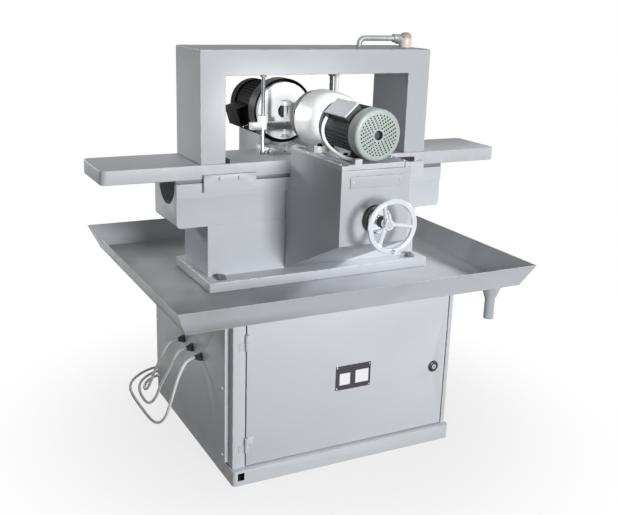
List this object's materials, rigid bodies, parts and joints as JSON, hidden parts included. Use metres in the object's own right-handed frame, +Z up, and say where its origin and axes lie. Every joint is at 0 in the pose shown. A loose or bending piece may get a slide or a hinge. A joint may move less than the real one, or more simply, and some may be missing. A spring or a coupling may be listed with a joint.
{
  "type": "double end face wet grinder",
  "caption": "Free-standing wet grinder: two facing motors with cup wheels, a sliding table with a portal and clamp between them, over a drip tray on a cabinet.",
  "frame": {"origin": "on the floor, at the centre of the plinth's four anchor holes", "axes": "+X along the table's travel to the operator's right, +Y away from the operator, +Z up"},
  "size_m": [1.418, 1.169, 1.3483],
  "materials": {
    "grey_paint": "semi-gloss",
    "dark_paint": "satin",
    "painted_casting": "painted, semi-gloss",
    "ground_iron": "ground",
    "bright_steel": "machined",
    "polished_chrome": "polished",
    "bright_aluminium": "spun",
    "motor_dark": "matte paint",
    "motor_black": "gloss paint",
    "fan_green": "semi-gloss",
    "black_plastic": "matte",
    "black_rubber": "matte",
    "white_sheath": "smooth",
    "beige_plastic": "smooth",
    "bronze": "machined",
    "abrasive": "gritty"
  },
  "bodies": {
    "base": {"base_plinth": "grey_paint", "cabinet_shell": "grey_paint", "side_cover": "grey_paint", "switchgear": "black_plastic", "post_hinges": "bright_steel", "supply_lead_front": "white_sheath", "supply_lead_middle": "white_sheath", "supply_lead_back": "white_sheath", "cable_glands": "black_plastic", "lead_connectors": "black_plastic", "drip_tray": "grey_paint", "drain_funnel": "grey_paint", "base_slab": "painted_casting", "bed_casting": "painted_casting", "guide_rails": "bright_steel", "front_bracket": "painted_casting", "slide_gibs": "bright_steel", "rear_bracket": "painted_casting", "screw_bearing": "dark_paint", "rear_motor_frame": "motor_black", "rear_fan_cover": "motor_black", "rear_guard": "motor_black", "rear_terminal_box": "motor_black"},
    "door": {"door_panel": "grey_paint", "blank_plate": "bright_aluminium", "door_hinges": "bright_steel", "lock_body": "black_plastic"},
    "lock": {"lock_cam": "bright_steel"},
    "table": {"work_table": "ground_iron", "table_keepers": "bright_steel", "stop_blocks": "black_rubber", "portal_leg_left": "grey_paint", "portal_leg_right": "grey_paint", "portal_beam": "grey_paint", "water_pipe": "bright_steel", "water_tap": "beige_plastic", "water_drop": "white_sheath", "clamp_rods": "bright_steel", "vee_rest": "bright_steel"},
    "tap": {"tap_knob": "beige_plastic"},
    "clamp": {"clamp_arm": "bright_steel"},
    "pad": {"press_pad": "bright_steel"},
    "press": {"press_screw": "bright_steel"},
    "front_head": {"feed_carriage": "painted_casting", "feed_nut": "bronze", "front_motor_frame": "motor_dark", "front_fan_cover": "fan_green", "front_guard": "bright_aluminium", "front_terminal_box": "motor_dark", "front_terminal_lid": "grey_paint", "motor_lead": "white_sheath"},
    "front_wheel": {"front_spindle": "bright_steel", "front_wheel_hub": "bright_steel", "front_abrasive": "abrasive"},
    "rear_wheel": {"rear_spindle": "bright_steel", "rear_wheel_hub": "bright_steel", "rear_abrasive": "abrasive"},
    "feed": {"feed_screw": "bright_steel", "feed_dial": "polished_chrome", "handwheel": "polished_chrome"}
  },
  "joints": [
    {"name": "door_swing", "type": "hinge", "parent": "base", "child": "door", "pos_m": [-0.352, -0.367, 0.3], "axis": [0, 0, -1], "range_deg": [0, 110]},
    {"name": "lock_turn", "type": "hinge", "parent": "door", "child": "lock", "pos_m": [0.332, -0.361, 0.272], "axis": [0, 1, 0], "range_deg": [0, 90]},
    {"name": "table_slide", "type": "slide", "parent": "base", "child": "table", "axis": [1, 0, 0], "range_m": [-0.2, 0.2]},
    {"name": "tap_turn", "type": "hinge", "parent": "table", "child": "tap", "pos_m": [0.3745, -0.007, 1.33], "axis": [0, 0, 1], "range_deg": [0, 90]},
    {"name": "clamp_slide", "type": "slide", "parent": "table", "child": "clamp", "axis": [0, 0, 1], "range_m": [-0.005, 0.08]},
    {"name": "press_slide", "type": "slide", "parent": "clamp", "child": "pad", "axis": [0, 0, 1], "range_m": [-0.024, 0.008]},
    {"name": "press_turn", "type": "hinge", "parent": "pad", "child": "press", "pos_m": [-0.068, 0, 1.07], "axis": [0, 0, 1], "range_deg": [-4330, 1450]},
    {"name": "head_feed", "type": "slide", "parent": "base", "child": "front_head", "axis": [0, 1, 0], "range_m": [-0.02, 0.03]},
    {"name": "front_wheel_spin", "type": "hinge", "parent": "front_head", "child": "front_wheel", "pos_m": [0, -0.15, 1.085], "axis": [0, 1, 0], "continuous": true},
    {"name": "rear_wheel_spin", "type": "hinge", "parent": "base", "child": "rear_wheel", "pos_m": [0, 0.18, 1.075], "axis": [0, 1, 0], "continuous": true},
    {"name": "handwheel_turn", "type": "hinge", "parent": "base", "child": "feed", "pos_m": [0, -0.5, 0.843], "axis": [0, 1, 0], "range_deg": [-1440, 2160]}
  ],
  "couplings": [
    {"joint": "press_turn", "follows": "press_slide", "rad_per_m": 3141.6},
    {"joint": "head_feed", "follows": "handwheel_turn", "m_per_rad": 0.00079577}
  ]
}
